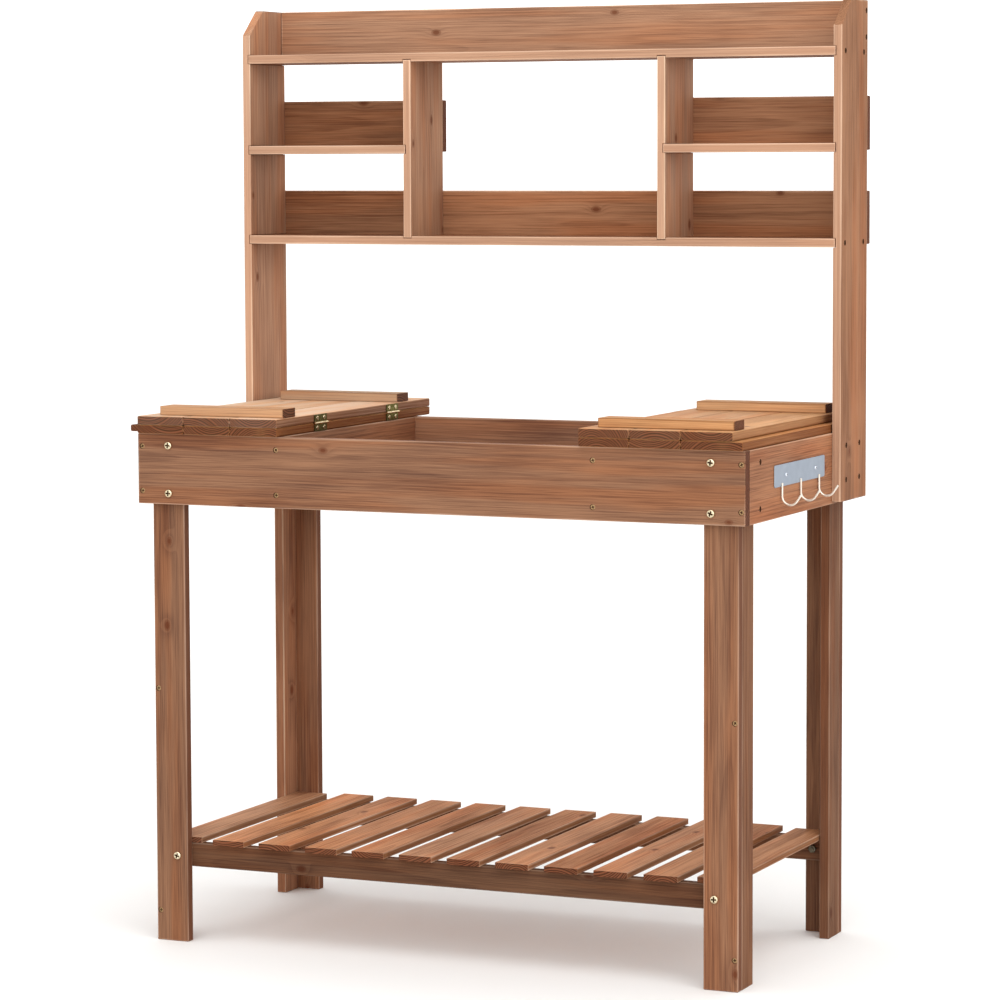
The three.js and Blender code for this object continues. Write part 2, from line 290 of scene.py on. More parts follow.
def makeFirGroup():
    # Flat-sawn softwood: rings round a pith beside the board, so faces show cathedral
    # grain and ends show arcs. Local is the place from the board's centre, with x along
    # the grain, y across the board's width and z through its thickness.
    tree = bpy.data.node_groups.new("flat sawn fir", "ShaderNodeTree")
    # Half is half the board's size. Edge, Wear and Drift say how much the painted light and shade of the
    # narrow sides, the corner lines (pale from rubbing and a painted highlight, dark with painted shade) and the
    # change along the board show.
    sockets = {"Local": "Vector", "Offset": "Vector", "Half": "Vector", "Light": "Color",
               "Dark": "Color", "Knot": "Color", "Corner": "Color", "Honey": "Color",
               "End": "Color", "Side": "Color", "Edge": "Float", "Wear": "Float",
               "Drift": "Float"}
    for name, kind in sockets.items():
        tree.interface.new_socket(name, in_out="INPUT", socket_type="NodeSocket" + kind)
    for name, kind in {"Color": "Color", "Roughness": "Float", "Height": "Float"}.items():
        tree.interface.new_socket(name, in_out="OUTPUT", socket_type="NodeSocket" + kind)
    given = tree.nodes.new("NodeGroupInput").outputs

    def vector(operation, first, second=None, third=None):
        inputs = {i: v for i, v in enumerate((first, second, third)) if v is not None}
        return addNode(tree, "ShaderNodeVectorMath", inputs, operation=operation)

    def number(operation, first, second=None, third=None):
        inputs = {i: v for i, v in enumerate((first, second, third)) if v is not None}
        return addNode(tree, "ShaderNodeMath", inputs, operation=operation).outputs[0]

    def ramp(value, fromLow, fromHigh, toLow=0.0, toHigh=1.0):
        inputs = {"Value": value, "From Min": fromLow, "From Max": fromHigh,
                  "To Min": toLow, "To Max": toHigh}
        node = addNode(tree, "ShaderNodeMapRange", inputs, interpolation_type="SMOOTHSTEP")
        return node.outputs[0]

    def noise(scale, detail, roughness=0.55):
        scaled = vector("MULTIPLY", place, scale).outputs[0]
        inputs = {"Vector": scaled, "Scale": 1.0, "Detail": detail, "Roughness": roughness}
        return addNode(tree, "ShaderNodeTexNoise", inputs)

    def mix(blend, factor, first, second):
        inputs = {"Factor": factor, 6: first, 7: second}
        node = addNode(tree, "ShaderNodeMix", inputs, data_type="RGBA", blend_type=blend)
        return node.outputs[2]

    def about(value, middle, weight, start):
        # start, plus how far the value is from its middle, weighted
        return number("MULTIPLY_ADD", number("SUBTRACT", value, middle), weight, start)

    place = vector("ADD", given["Local"], given["Offset"]).outputs[0]
    sway = noise(firLook["swayScale"], 2.0).outputs["Color"]
    across = (0.0, firLook["sway"], firLook["sway"])
    bent = vector("MULTIPLY_ADD", sway, across, place).outputs[0]

    # knots: branch places that push the rings aside
    cell = 1 / firLook["knotCell"]
    stretched = (cell * firLook["knotStretch"], cell, cell)
    cells = addNode(tree, "ShaderNodeTexVoronoi",
                    {"Vector": vector("MULTIPLY", place, stretched).outputs[0], "Scale": 1.0},
                    voronoi_dimensions="2D")
    chance = addNode(tree, "ShaderNodeSeparateColor", {0: cells.outputs["Color"]}).outputs[0]
    absent = number("LESS_THAN", chance, firLook["knotShare"])
    cellAway = number("ADD", cells.outputs["Distance"], absent)
    knotAway = number("MULTIPLY", cellAway, firLook["knotCell"])
    bendAway = number("POWER", number("DIVIDE", knotAway, firLook["swellWidth"]), 2.0)
    swell = number("EXPONENT", number("MULTIPLY", bendAway, -1.0))
    knotEdge = number("MULTIPLY_ADD", chance, firLook["knotSpread"], firLook["knotRadius"] - 4 * mm)
    inKnot = number("SUBTRACT", knotAway, knotEdge)
    knotCore = ramp(inKnot, 1.0 * mm, -2.2 * mm)
    knotRim = number("MULTIPLY", ramp(inKnot, 1.6 * mm, 0.2 * mm),
                     ramp(inKnot, -1.6 * mm, -0.2 * mm))
    knot = number("MAXIMUM", knotCore, number("MULTIPLY", knotRim, 0.55))

    # growth rings
    flat = vector("MULTIPLY", bent, (0.0, 1.0, 1.0)).outputs[0]
    pithAway = vector("LENGTH", flat).outputs["Value"]
    radius = number("MULTIPLY_ADD", swell, firLook["swellPush"], pithAway)
    uneven = addNode(tree, "ShaderNodeTexNoise",
                     {"W": number("MULTIPLY", radius, 110.0), "Scale": 1.0, "Detail": 1.0},
                     noise_dimensions="1D").outputs[0]
    rings = number("DIVIDE", radius, firLook["ring"])
    phase = number("FRACT", number("MULTIPLY_ADD", uneven, firLook["ringUneven"], rings))
    latewood = number("MULTIPLY", ramp(phase, 0.25, 0.9), ramp(phase, 1.0, 0.93))

    streak = noise(firLook["streakScale"], 3.0, 0.6).outputs[0]
    pore = noise(firLook["poreScale"], 2.0).outputs[0]
    blotch = noise(firLook["blotchScale"], 2.0).outputs[0]
    honey = noise(firLook["honeyScale"], 2.0).outputs["Color"]
    honey = ramp(addNode(tree, "ShaderNodeSeparateColor", {0: honey}).outputs[1], 0.42, 0.66)

    # how far each point is from the light tone to the dark one
    shade = number("MULTIPLY_ADD", latewood, firLook["latewood"], firLook["base"])
    shade = about(streak, 0.5, firLook["streak"], shade)
    shade = about(pore, 0.5, firLook["pore"], shade)
    shade = about(blotch, 0.48, firLook["blotch"], shade)
    reach = vector("DIVIDE", given["Local"], given["Half"]).outputs[0]
    reach = addNode(tree, "ShaderNodeSeparateXYZ", {0: reach}).outputs[0]
    # Drift: lighter towards one end; on the lower back board this is painted light
    shade = number("MULTIPLY_ADD", reach, given["Drift"], shade)
    shade = number("MAXIMUM", number("MINIMUM", shade, 1.0), 0.0)

    # distance to the nearest corner line, and whether this is an end or a narrow edge
    out = vector("ABSOLUTE", given["Local"]).outputs[0]
    depth = vector("SUBTRACT", given["Half"], out).outputs[0]
    part = addNode(tree, "ShaderNodeSeparateXYZ", {0: depth}).outputs
    lesser = number("MINIMUM", part[1], part[2])
    greater = number("MAXIMUM", part[1], part[2])
    corner = number("MAXIMUM", lesser, number("MINIMUM", greater, part[0]))
    rough = about(blotch, 0.5, 6 * mm, corner)
    # corner lines: pale from rubbing and partly a painted highlight where edges catch light; on the lid boards
    # dark, painted shade in the joints
    wornAndPainted = number("MULTIPLY", ramp(rough, firLook["wearWidth"], 0.0), given["Wear"])
    skin = firLook["skin"]
    endGrain = ramp(part[0], skin, skin / 2)
    narrow = ramp(part[1], skin, skin / 2)
    faceOnly = number("SUBTRACT", 1.0, narrow)
    notEnd = number("SUBTRACT", 1.0, endGrain)
    side = number("MULTIPLY", number("MULTIPLY", narrow, given["Edge"]), notEnd)
    line = number("MULTIPLY", wornAndPainted, notEnd)

    colour = mix("MIX", shade, given["Light"], given["Dark"])
    colour = mix("OVERLAY", number("MULTIPLY", honey, 0.3), colour, given["Honey"])
    lineGrain = about(streak, 0.5, -1.4, 0.85)
    sideGrain = about(streak, 0.5, -1.1, 0.9)
    # narrow sides: a painted highlight on the hutch's front edges, painted shade on the slats' and legs' sides
    colour = mix("MIX", number("MULTIPLY", side, sideGrain), colour, given["Side"])
    colour = mix("MIX", number("MULTIPLY", line, lineGrain), colour, given["Corner"])
    endRings = number("MULTIPLY", ramp(phase, 0.75, 0.2), ramp(phase, 0.0, 0.12))
    earlyEnd = vector("MULTIPLY", given["End"], firLook["earlyEnd"]).outputs[0]
    endShade = mix("MIX", number("MULTIPLY", endRings, 0.8), given["End"], earlyEnd)
    colour = mix("MIX", number("MULTIPLY", endGrain, 0.92), colour, endShade)
    for feature, share, tone in ((swell, 0.3, "Dark"), (knot, 0.75, "Knot")):
        onFace = number("MULTIPLY", feature, faceOnly)
        colour = mix("MIX", number("MULTIPLY", onFace, share), colour, given[tone])

    roughness = number("MULTIPLY_ADD", wornAndPainted, 0.1, 0.54)
    roughness = number("MULTIPLY_ADD", shade, 0.12, roughness)
    height = number("MULTIPLY", latewood, 0.3)
    height = number("MULTIPLY_ADD", pore, 0.6, height)
    height = number("MULTIPLY_ADD", streak, 0.5, height)
    addNode(tree, "NodeGroupOutput", {"Color": colour, "Roughness": roughness, "Height": height})
    return tree


firGroup = makeFirGroup()


def scaleColour(colour, gain):
    return [min(1.0, c * g) for c, g in zip(colour, gain)] + [1.0]


def blendColour(first, second, share):
    return [a * (1 - share) + b * share for a, b in zip(first, second)]


def firMaterial(name, slotName, low, high, grain, tone=0.0, warm=0.0, paleStainAndSheen=0.0,
                edge=None, drift=0.0):
    # Planed fir under a thinly applied stain: low sheen, streaked grain, and corner lines that
    # are pale from rubbing and partly a painted highlight, on the lid boards dark with painted
    # shade in the joints. tone lightens it, much of it painted light and shade, warm makes it
    # redder, paleStainAndSheen is how little stain it took, on the swing leaves partly a painted
    # sheen, edge is how much its narrow sides' tone shows, painted light on the hutch's front
    # edges and painted shade on the slats' and legs' sides, and drift darkens it towards the
    # high end of its grain, on the lower back board lightening its right end as painted light.
    draw = random.Random(name)
    low, high = Vector(low), Vector(high)
    size, centre = high - low, (high + low) / 2
    along = axisIndex[grain]
    wide = max((i for i in range(3) if i != along), key=lambda i: size[i])
    alongAxis, wideAxis = Vector(), Vector()
    alongAxis[along] = 1
    wideAxis[wide] = 1
    turn = Matrix((alongAxis, wideAxis, alongAxis.cross(wideAxis)))
    half = [abs(v) / 2 for v in turn @ size]
    offset = [draw.uniform(0, 60), draw.uniform(-26, 26) * mm,
              draw.choice((-1, 1)) * draw.uniform(24, 70) * mm]

    material, tree = startMaterial(name + " stained fir")
    lightTone, darkTone, sideLightShadeTone, sideShare, cornerWearLightTone, wearAndPaintedShare = woodTones[slotName]
    value = 1 + firLook["toneStep"] * tone + draw.uniform(-0.07, 0.07)
    red = firLook["warmStep"] * warm + draw.uniform(-0.025, 0.025)
    gain = (value * (1 + red), value, value * (1 - red))
    coords = addNode(tree, "ShaderNodeTexCoord").outputs["Object"]
    local = addNode(tree, "ShaderNodeMapping", {"Vector": coords, "Location": -(turn @ centre),
                                                "Rotation": turn.to_euler()}).outputs[0]
    group = addNode(tree, "ShaderNodeGroup", node_tree=firGroup)
    tree.links.new(local, group.inputs["Local"])
    bare = toLinear(bareTone)
    values = {"Offset": offset, "Half": half, "Wear": wearAndPaintedShare, "Drift": drift,
              "Edge": sideShare if edge is None else edge,
              "Light": scaleColour(blendColour(toLinear(lightTone), bare, paleStainAndSheen), gain),
              "Dark": scaleColour(blendColour(toLinear(darkTone), bare, paleStainAndSheen), gain),
              "Side": toLinear(sideLightShadeTone),
              "Knot": scaleColour(toLinear(knotTone), gain),
              "Corner": scaleColour(toLinear(cornerWearLightTone), (value, value, value)),
              "Honey": toLinear(honeyTone),
              "End": toLinear(endTone)}
    for key, setting in values.items():
        group.inputs[key].default_value = setting
    bump = addNode(tree, "ShaderNodeBump",
                   {"Height": group.outputs["Height"], "Strength": 0.45, "Distance": 0.6 * mm})
    shader = addNode(tree, "ShaderNodeBsdfPrincipled",
                     {"Base Color": group.outputs["Color"],
                      "Roughness": group.outputs["Roughness"],
                      "Normal": bump.outputs[0], "IOR": 1.45, "Specular IOR Level": 0.04})
    addNode(tree, "ShaderNodeOutputMaterial", {"Surface": shader.outputs[0]})
    return material


# ---- plated steel

# each plating's brightest and dullest colour, how rough it is and how fine its grain is,
# in cycles per metre
platingLook = {
    "brass": {"bright": "#96906f", "dull": "#2a281c", "roughness": 0.28, "grit": 2600},
    "bronze": {"bright": "#c2a076", "dull": "#7a5c3a", "roughness": 0.3, "grit": 700},
    # painted shade: the dark inside of the screws' and bolts' cross recesses
    "grime": {"bright": "#6a5238", "dull": "#3a2b1c", "roughness": 0.5, "grit": 700},
    "dullZinc": {"bright": "#86806f", "dull": "#4c463a", "roughness": 0.4, "grit": 700},
    "yellowZinc": {"bright": "#f6e8cc", "dull": "#b7a27a", "roughness": 0.2, "grit": 700},
    "zincSheet": {"bright": "#aab1bb", "dull": "#9da4ae", "roughness": 0.45, "grit": 260},
    "brightZinc": {"bright": "#f6f8fc", "dull": "#c6ccd8", "roughness": 0.2, "grit": 700},
    "zincWire": {"bright": "#f4ece0", "dull": "#c9beb0", "roughness": 0.28, "grit": 700},
}


def platedMaterial(name, look, metallic=1.0):
    # plated steel: even metal, slightly clouded, with a very fine grain
    material, tree = startMaterial(name)
    coords = addNode(tree, "ShaderNodeTexCoord").outputs["Object"]
    cloud = addNode(tree, "ShaderNodeTexNoise",
                    {"Vector": coords, "Scale": look["grit"] / 8, "Detail": 3.0}).outputs[0]
    grit = addNode(tree, "ShaderNodeTexNoise",
                   {"Vector": coords, "Scale": look["grit"], "Detail": 2.0}).outputs[0]
    colour = addNode(tree, "ShaderNodeMix",
                     {"Factor": cloud, 6: toLinear(look["bright"]), 7: toLinear(look["dull"])},
                     data_type="RGBA").outputs[2]
    level = look["roughness"]
    roughness = addNode(tree, "ShaderNodeMapRange",
                        {"Value": cloud, "From Min": 0.3, "From Max": 0.7,
                         "To Min": level - 0.06, "To Max": level + 0.12}).outputs[0]
    bump = addNode(tree, "ShaderNodeBump",
                   {"Height": grit, "Strength": 0.2, "Distance": 0.05 * mm})
    shader = addNode(tree, "ShaderNodeBsdfPrincipled",
                     {"Base Color": colour, "Roughness": roughness, "Normal": bump.outputs[0],
                      "Metallic": metallic, "Specular Tint": toLinear(look["bright"])})
    addNode(tree, "ShaderNodeOutputMaterial", {"Surface": shader.outputs[0]})
    return material


def boredMaterial():
    # raw fir inside a drilled hole, painted dark as the shade in the recess
    material, tree = startMaterial("stain soaked fir")
    coords = addNode(tree, "ShaderNodeTexCoord").outputs["Object"]
    fibre = addNode(tree, "ShaderNodeTexNoise",
                    {"Vector": coords, "Scale": 700.0, "Detail": 2.0}).outputs[0]
    colour = addNode(tree, "ShaderNodeMix",
                     {"Factor": fibre, 6: toLinear("#2e1a10"), 7: toLinear("#4e3020")},
                     data_type="RGBA").outputs[2]
    bump = addNode(tree, "ShaderNodeBump",
                   {"Height": fibre, "Strength": 0.4, "Distance": 0.2 * mm})
    shader = addNode(tree, "ShaderNodeBsdfPrincipled",
                     {"Base Color": colour, "Roughness": 0.8, "Normal": bump.outputs[0],
                      "IOR": 1.45, "Specular IOR Level": 0.2})
    addNode(tree, "ShaderNodeOutputMaterial", {"Surface": shader.outputs[0]})
    return material


holeShadeFir = boredMaterial()
brassPlate = platedMaterial("brass plated steel", platingLook["brass"])
screwPlate = platedMaterial("dark bronzed steel", platingLook["bronze"])
boltPlate = platedMaterial("yellow zinc plated steel", platingLook["yellowZinc"])
nutPlate = platedMaterial("dull zinc plated steel", platingLook["dullZinc"])
recessShadePlate = platedMaterial("steel recess full of stain", platingLook["grime"])
sheetPlate = platedMaterial("satin zinc sheet", platingLook["zincSheet"], metallic=0.75)
studPlate = platedMaterial("bright zinc plated steel", platingLook["brightZinc"], metallic=0.7)
wirePlate = platedMaterial("zinc plated wire", platingLook["zincWire"], metallic=0.6)
print("materials ready")


# ---- boards straight from the frame, with eased edges

boardLook = {
    "edge": 1.4 * mm,
    "slatEdge": 1.1 * mm,
    "segments": 3,
}
# how a board differs from its neighbours: (lighter, redder, less stain); much of the lighter value is painted
# light and shade, as marked below
boardTonesWithPaintedLight = {
    "front_apron": (0.1, 0.0, 0),
    # the back apron's and right side apron's light tones are painted light
    "back_apron": (2.8, -0.5, 0),
    "right_side_apron": (1.7, 1.6, 0),
    "left_side_apron": (0.6, 0.0, 0),
    "left_partition": (1.2, 0.4, 0),
    "top_back_board": (1.4, -1.2, 0.04),
    "upper_left_back_board": (-0.1, 0.8, 0),
    # the upper right back board's light tone is painted light inside its bay
    "upper_right_back_board": (1.8, 0.2, 0),
    "lower_back_board": (0.7, 0.5, 0),
    # the light tones of the uprights' and dividers' inner faces are painted light inside the hutch
    "left_upright": (3.0, -1.6, 0.06),
    "left_divider": (1.8, -1.5, 0.04),
    "right_divider": (3.5, -1.6, 0.06),
    "right_upright": (0.4, 0.2, 0),
    # the front rail's dark tone is a painted shadow under the slats
    "front_rail": (-2.8, 0.6, 0),
    "rear_rail": (-1.6, 0.4, 0),
    # the right legs' dark tones are painted shade under the bench
    "front_right_leg_side": (-1.5, 1.6, 0),
    "rear_right_leg_face": (-1.4, 0.2, 0),
    "rear_right_leg_side": (-1.4, 0.2, 0),
    "rear_left_leg_face": (0.3, 0.8, 0),
    # the rear left leg's light side is painted light
    "rear_left_leg_side": (3.2, 0.0, 0),
    # the slats' light tones are painted light on their tops under the bench
    "slat_01": (1.8, -1.2, 0.06),
    "slat_02": (3.0, 0.0, 0),
    "slat_03": (1.8, 0.5, 0.02),
    "slat_04": (1.1, 0.2, 0),
    "slat_05": (1.2, 0.6, 0),
    "slat_06": (1.4, -0.6, 0.03),
    "slat_07": (0.9, -0.2, 0),
    "slat_08": (1.3, 0.3, 0.04),
    "slat_09": (0.7, 0.5, 0),
    "slat_10": (1.0, 0.0, 0.05),
    "slat_11": (0.3, 0.5, 0),
    "slat_12": (0.1, -0.1, 0),
    "left_front_batten": (-0.2, -0.8, 0.2),
    "left_rear_batten": (-1.7, -1.3, 0.3),
    "right_front_batten": (-0.6, 0.0, 0.04),
    "right_rear_batten": (0.0, -0.7, 0.1),
}
# how much of the side tone shows on the narrow sides, where it isn't the slot's own share; on the legs that tone
# is painted shade
narrowShare = {"batten": 0.0, "leg_face": 0.85, "leg_side": 0.4}
# boards that change along their length, lighter to the right; on the lower back board this is painted light on its
# right end
driftAndPaintedLight = {"front_apron": -0.12, "lower_back_board": -0.26}


def grainOf(node):
    low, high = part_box(node)
    size = [high[i] - low[i] for i in range(3)]
    return "xyz"[size.index(max(size))]


def boardMaterial(node):
    low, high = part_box(node)
    lighter, redder, paleStainAndSheen = boardTonesWithPaintedLight.get(node, (0.0, 0.0, 0.0))
    edge = next((share for kind, share in narrowShare.items() if node.endswith(kind)), None)
    return firMaterial(node, nodeSlot[node], low, high, grainOf(node), lighter, redder, paleStainAndSheen,
                       edge, driftAndPaintedLight.get(node, 0.0))


def easeBoard(node):
    piece = frame["nodes"][node]
    addWeld(piece)
    width = boardLook["slatEdge"] if node.startswith("slat") else boardLook["edge"]
    addBevel(piece, width, boardLook["segments"])
    piece.data.materials.clear()
    piece.data.materials.append(boardMaterial(node))


# ---- fasteners, each modelled once at the origin facing +z

fastenerTwist = random.Random(5)
# reach is the half length of the cross, as a share of the radius
screwLook = {
    "radius": 3.9 * mm,
    "thick": 1.4 * mm,
    "ease": 0.25 * mm,
    "recess": 1.2 * mm,
    "slot": 1.5 * mm,
    "reach": 0.62,
    "below": 1.6 * mm,  # from the board's face down to the head's
    "holeRadius": 4.4 * mm,
    "holeDepth": 2.6 * mm,
    "holeTaper": (0.86, 1.12),  # at the bottom and well above the face
}
boltLook = {"radius": 6.3 * mm, "height": 3.8 * mm, "round": 2.4 * mm,
            "recess": 2.4 * mm, "slot": 2.4 * mm, "reach": 0.66}
flushLook = {"radius": 3.3 * mm, "height": 1.4 * mm, "round": 0.6 * mm,
             "recess": 0.7 * mm, "slot": 0.8 * mm, "reach": 0.66}
studLook = {"radius": 2.7 * mm, "height": 1.8 * mm, "round": 1.1 * mm,
            "recess": 0.8 * mm, "slot": 0.9 * mm, "reach": 0.66}
nutLook = {
    "radius": 6.2 * mm,
    "height": 4.6 * mm,
    "chamfer": 0.8 * mm,
    "crown": 0.4 * mm,
    "thread": 3.0 * mm,
    "stub": 3.0 * mm,
    "threadEase": 0.6 * mm,
}


def cutCross(piece, look, top):
    reach, narrow, depth = look["radius"] * look["reach"], look["slot"] / 2, look["recess"]
    for width, length in ((narrow, reach), (reach, narrow)):
        tool = startBlock("cross", (-width, -length, top - depth), (width, length, top + depth))
        # the cross recess is painted dark as the shade inside it
        tool.data.materials.append(recessShadePlate)
        cutWith(piece, tool)


def makeScrew():
    look = screwLook
    piece = startRound("screwHead", look["radius"], (0, 0, -look["thick"]), (0, 0, 0), "z", 20)
    piece.data.materials.append(screwPlate)
    bevelTop(look["ease"], 2)
    cutCross(piece, look, 0)
    return piece


def makePanHead(name, look, plating):
    # a short drum with a well rounded top and a wide cross
    piece = startRound(name, look["radius"], (0, 0, 0), (0, 0, look["height"]), "z", 32)
    piece.data.materials.append(plating)
    bevelTop(look["round"], 5)
    cutCross(piece, look, look["height"])
    onlySelect(piece)
    bpy.ops.object.shade_smooth_by_angle(angle=math.radians(35))
    return piece


def makeNut():
    # a hexagon nut on the stub of its bolt
    look = nutLook
    piece = startRound("nutBody", look["radius"], (0, 0, 0), (0, 0, look["height"]), "z", 6)
    bpy.ops.object.mode_set(mode="EDIT")
    pick("FACE", lambda face: face.normal.z > 0.9)
    bpy.ops.mesh.inset(thickness=look["chamfer"])
    bpy.ops.transform.translate(value=(0, 0, look["crown"]))
    bpy.ops.object.mode_set(mode="OBJECT")
    top = look["height"] + look["stub"]
    stub = startRound("stub", look["thread"], (0, 0, look["height"] / 2), (0, 0, top), "z", 20)
    bevelTop(look["threadEase"], 2)
    return joinPieces("nutBody", [piece, stub])


screwHead = makeScrew()
boltHead = makePanHead("boltHead", boltLook, boltPlate)
hingeStud = makePanHead("hingeStud", flushLook, boltPlate)
plateStud = makePanHead("plateStud", studLook, studPlate)
nutBody = makeNut()
print("fasteners ready")


# ---- boards with countersunk screws

def faceSpots(node, facing, places):
    # points on one face of a board, each place given on the two other axes in millimetres
    # from the board's low corner, or from its high corner where negative
    low, high = boxOf(node)
    index = next(i for i in range(3) if abs(facing[i]) > 0.5)
    others = [i for i in range(3) if i != index]
    spots = []
    for place in places:
        point = Vector((0, 0, 0))
        point[index] = high[index] if facing[index] > 0 else low[index]
        for other, value in zip(others, place):
            point[other] = (low if value >= 0 else high)[other] + value * mm
        spots.append((point, Vector(facing)))
    return spots


def fromLow(node, other, axis):
    # where another board's middle falls on this one, in millimetres from its low side
    index = axisIndex[axis]
    return (middleOf(other)[index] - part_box(node)[0][index]) / mm


def boredBoard(node, spots):
    # an eased copy of the board with a countersink and a screw at each spot
    board = copyPiece(frame["nodes"][node], node + "_bored")
    board.parent = None
    board.matrix_world = Matrix.Identity(4)
    board.data.materials.clear()
    board.data.materials.append(boardMaterial(node))
    bpy.ops.object.modifier_apply(modifier=addWeld(board).name)
    bevelAll(board, boardLook["edge"], boardLook["segments"])
    look = screwLook
    bottom, top = (look["holeRadius"] * taper for taper in look["holeTaper"])
    clearSelection()
    bpy.ops.mesh.primitive_cone_add(vertices=20, radius1=bottom, radius2=top,
                                    depth=2 * look["holeDepth"])
    sink = bpy.context.object
    sink.name = "sink"
    # the countersink's walls are painted dark as shade
    sink.data.materials.append(holeShadeFir)
    tool = placeCopies(node + "_sinks", sink, spots)
    bpy.data.objects.remove(sink, do_unlink=True)
    cutWith(board, tool)
    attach(board, nodeBody[node])
    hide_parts(node)
    sunk = [(point - facing * look["below"], facing) for point, facing in spots]
    screws = placeCopies(node + "_screws", screwHead, sunk)
    finish(screws, nodeBody[node])


def grid(columns, rows):
    return [(column, row) for column in columns for row in rows]


# where screws sit, in mm from a board's low edge, or from its high edge where negative
screwRows = {
    "apron": (20, -20),
    "apronEnd": 7,
    "sideApronStep": 6,  # behind the middle of the leg board inside
    "legStep": 2,  # outward from the middle of the leg board behind
    "leg": (47, 397),
    "shelf": (18, -18),
    "topBack": (-16, -57),
    "boxDepth": (28, -33),  # where an upright is screwed to the box
    "boxHeight": (33, 86),
    "back": (20, -20),
}
# the posts behind the screws of each back board
backPosts = {
    "upper_left_back_board": ["left_upright", "left_divider"],
    "upper_right_back_board": ["right_divider", "right_upright"],
    "lower_back_board": ["left_upright", "left_divider", "right_divider", "right_upright"],
}


def planScrews():
    # each screwed board with the way its screws face and their places
    rows = screwRows
    plan = []
    for node, facing in (("front_apron", (0, -1, 0)), ("back_apron", (0, 1, 0))):
        columns = [rows["apronEnd"], -rows["apronEnd"]]
        columns += [fromLow(node, side + "_partition", "x") for side in ("left", "right")]
        plan.append((node, facing, grid(columns, rows["apron"])))
    shelfHeights = [fromLow("right_upright", shelf, "z") for shelf in ("top_shelf", "bottom_shelf")]
    for side, facing in (("left", (-1, 0, 0)), ("right", (1, 0, 0))):
        sideApron, upright = side + "_side_apron", side + "_upright"
        legMiddle = fromLow(sideApron, "front_" + side + "_leg_side", "y")
        plan.append((sideApron, facing, grid([legMiddle + rows["sideApronStep"]], rows["apron"])))
        backDepth = fromLow(upright, "top_back_board", "y")
        plan.append((upright, facing, grid(rows["shelf"], shelfHeights)
                     + grid([backDepth], rows["topBack"])
                     + grid(rows["boxDepth"], rows["boxHeight"])))
        for end, outward in (("front", (0, -1, 0)), ("rear", (0, 1, 0))):
            board = end + "_" + side + "_leg_face"
            legMiddle = fromLow(board, end + "_" + side + "_leg_side", "x")
            step = rows["legStep"] * facing[0]
            plan.append((board, outward, grid([legMiddle + step], rows["leg"])))
    for node, posts in backPosts.items():
        columns = [fromLow(node, post, "x") for post in posts]
        plan.append((node, (0, 1, 0), grid(columns, rows["back"])))
    return plan


boredNodes = set()
for node, facing, places in planScrews():
    boredBoard(node, faceSpots(node, facing, places))
    boredNodes.add(node)
print("bored boards:", len(boredNodes))

leafNodes = ("left_fixed_leaf", "right_fixed_leaf", "left_swing_leaf", "right_swing_leaf")
for node in frame["nodes"]:
    rebuilt = "plate" in node or node in leafNodes or node == "hook_rail"
    if not rebuilt and node not in boredNodes:
        easeBoard(node)
print("eased boards done")


# ---- work-top leaves, three tongue-and-groove boards each

leafLook = {
    "boards": 3,
    "tongue": 5 * mm,
    "tongueThick": 4.4 * mm,
    "fit": 1.0 * mm,  # gap at each joint, and how much deeper a groove is than its tongue
    "edge": 2.1 * mm,
    "lipThick": 10.4 * mm,  # tongue left showing on the left fixed leaf's outer edge
    "lipShort": 8 * mm,  # how far in front of the upright the lip stops
    "lipOverlap": 1 * mm,
}
# for each board of a leaf: (lighter, redder, less stain, on the swing leaves partly a painted sheen), then how
# dark its long sides are
leafTones = {
    "left_fixed_leaf": ([(-1.0, 0.4, 0), (-0.8, 0.3, 0), (-0.9, 0.4, 0)], 0.9),
    "right_fixed_leaf": ([(-0.9, 0.6, 0), (-0.6, 0.7, 0.05), (-0.5, 0.2, 0)], 0.85),
    # the swing leaves' pale, less stained boards are partly a painted sheen on their tops
    "left_swing_leaf": ([(0.6, -1.4, 0.45), (0.4, -1.2, 0.35), (0.6, -1.6, 0.55)], 0.9),
    "right_swing_leaf": ([(0.0, -0.3, 0.18), (0.1, -0.3, 0.2), (0.0, 0.0, 0.08)], 0.5),
}


def isStrip(direction, level):
    # a test for the strip between the two cuts on one long side
    def test(face):
        away = abs(face.calc_center_median().z - level)
        return face.normal.x * direction > 0.9 and away < leafLook["tongueThick"] / 2
    return test


def moulding(name, low, high, tongue, groove):
    # one board with its long edges eased, then a tongue on its left and a groove on its right
    piece = startBlock(name, low, high)
    bevelAll(piece, leafLook["edge"], 2)
    bpy.ops.object.mode_set(mode="EDIT")
    level = (low[2] + high[2]) / 2
    reach = leafLook["tongueThick"] / 2
    for cut in (level - reach, level + reach):
        pick("FACE", lambda face: True)
        bpy.ops.mesh.bisect(plane_co=(0, 0, cut), plane_no=(0, 0, 1))
    for side, wanted, distance in ((-1, tongue, leafLook["tongue"]),
                                   (1, groove, -leafLook["tongue"] - leafLook["fit"])):
        if wanted:
            pick("FACE", isStrip(side, level))
            move = {"value": (side * distance, 0, 0)}
            bpy.ops.mesh.extrude_region_move(TRANSFORM_OT_translate=move)
    bpy.ops.object.mode_set(mode="OBJECT")
    return piece


def addLip(board, lip):
    onlySelect(board)
    union = board.modifiers.new("lip", "BOOLEAN")
    union.operation = "UNION"
    union.object = lip
    union.solver = "EXACT"
    bpy.ops.object.modifier_apply(modifier=union.name)
    bpy.data.objects.remove(lip, do_unlink=True)


